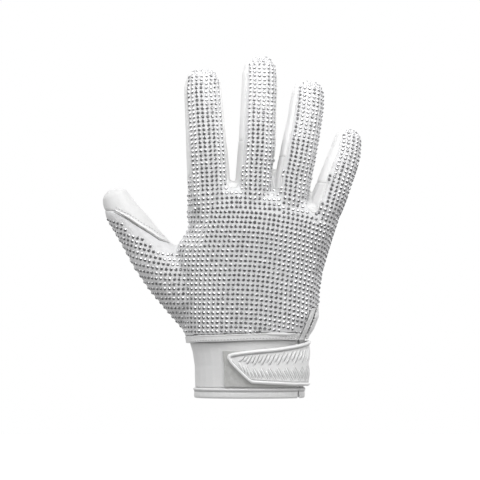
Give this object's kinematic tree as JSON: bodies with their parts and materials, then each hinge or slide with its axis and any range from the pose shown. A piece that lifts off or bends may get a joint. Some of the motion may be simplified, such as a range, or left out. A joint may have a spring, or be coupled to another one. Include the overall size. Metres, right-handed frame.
{
  "type": "football glove",
  "caption": "Right-hand sport glove in worn form: studded back, smooth leather palm and thumb, stretch side strips, elastic cuff and pointed wrist strap",
  "frame": {"origin": "centre of the wrist opening, at the lower edge of the cuff", "axes": "+X to the little-finger side, +Y from the back of the hand to the palm, +Z along the hand to the fingertips"},
  "size_m": [0.167, 0.0562, 0.222],
  "materials": {
    "studded_fabric": "white knit set with close rows of small clear stones",
    "leather": "soft white leather, matt, fine grain",
    "mesh": "fine white stretch mesh",
    "cuff": "smooth white elastic band",
    "loop": "white brushed loop fabric",
    "strap": "white moulded strap with raised rim and ribs"
  },
  "bodies": {
    "root": {"back_panel": "studded_fabric", "palm_panel": "leather", "thumb_leather": "leather", "fourchette_index_middle": "mesh", "fourchette_middle_ring": "mesh", "fourchette_ring_little": "mesh", "back_hem_binding": "leather", "vent_binding": "leather", "cuff_band": "cuff", "cuff_hem": "cuff", "loop_patch": "loop", "closure_strap": "strap"}
  },
  "joints": []
}
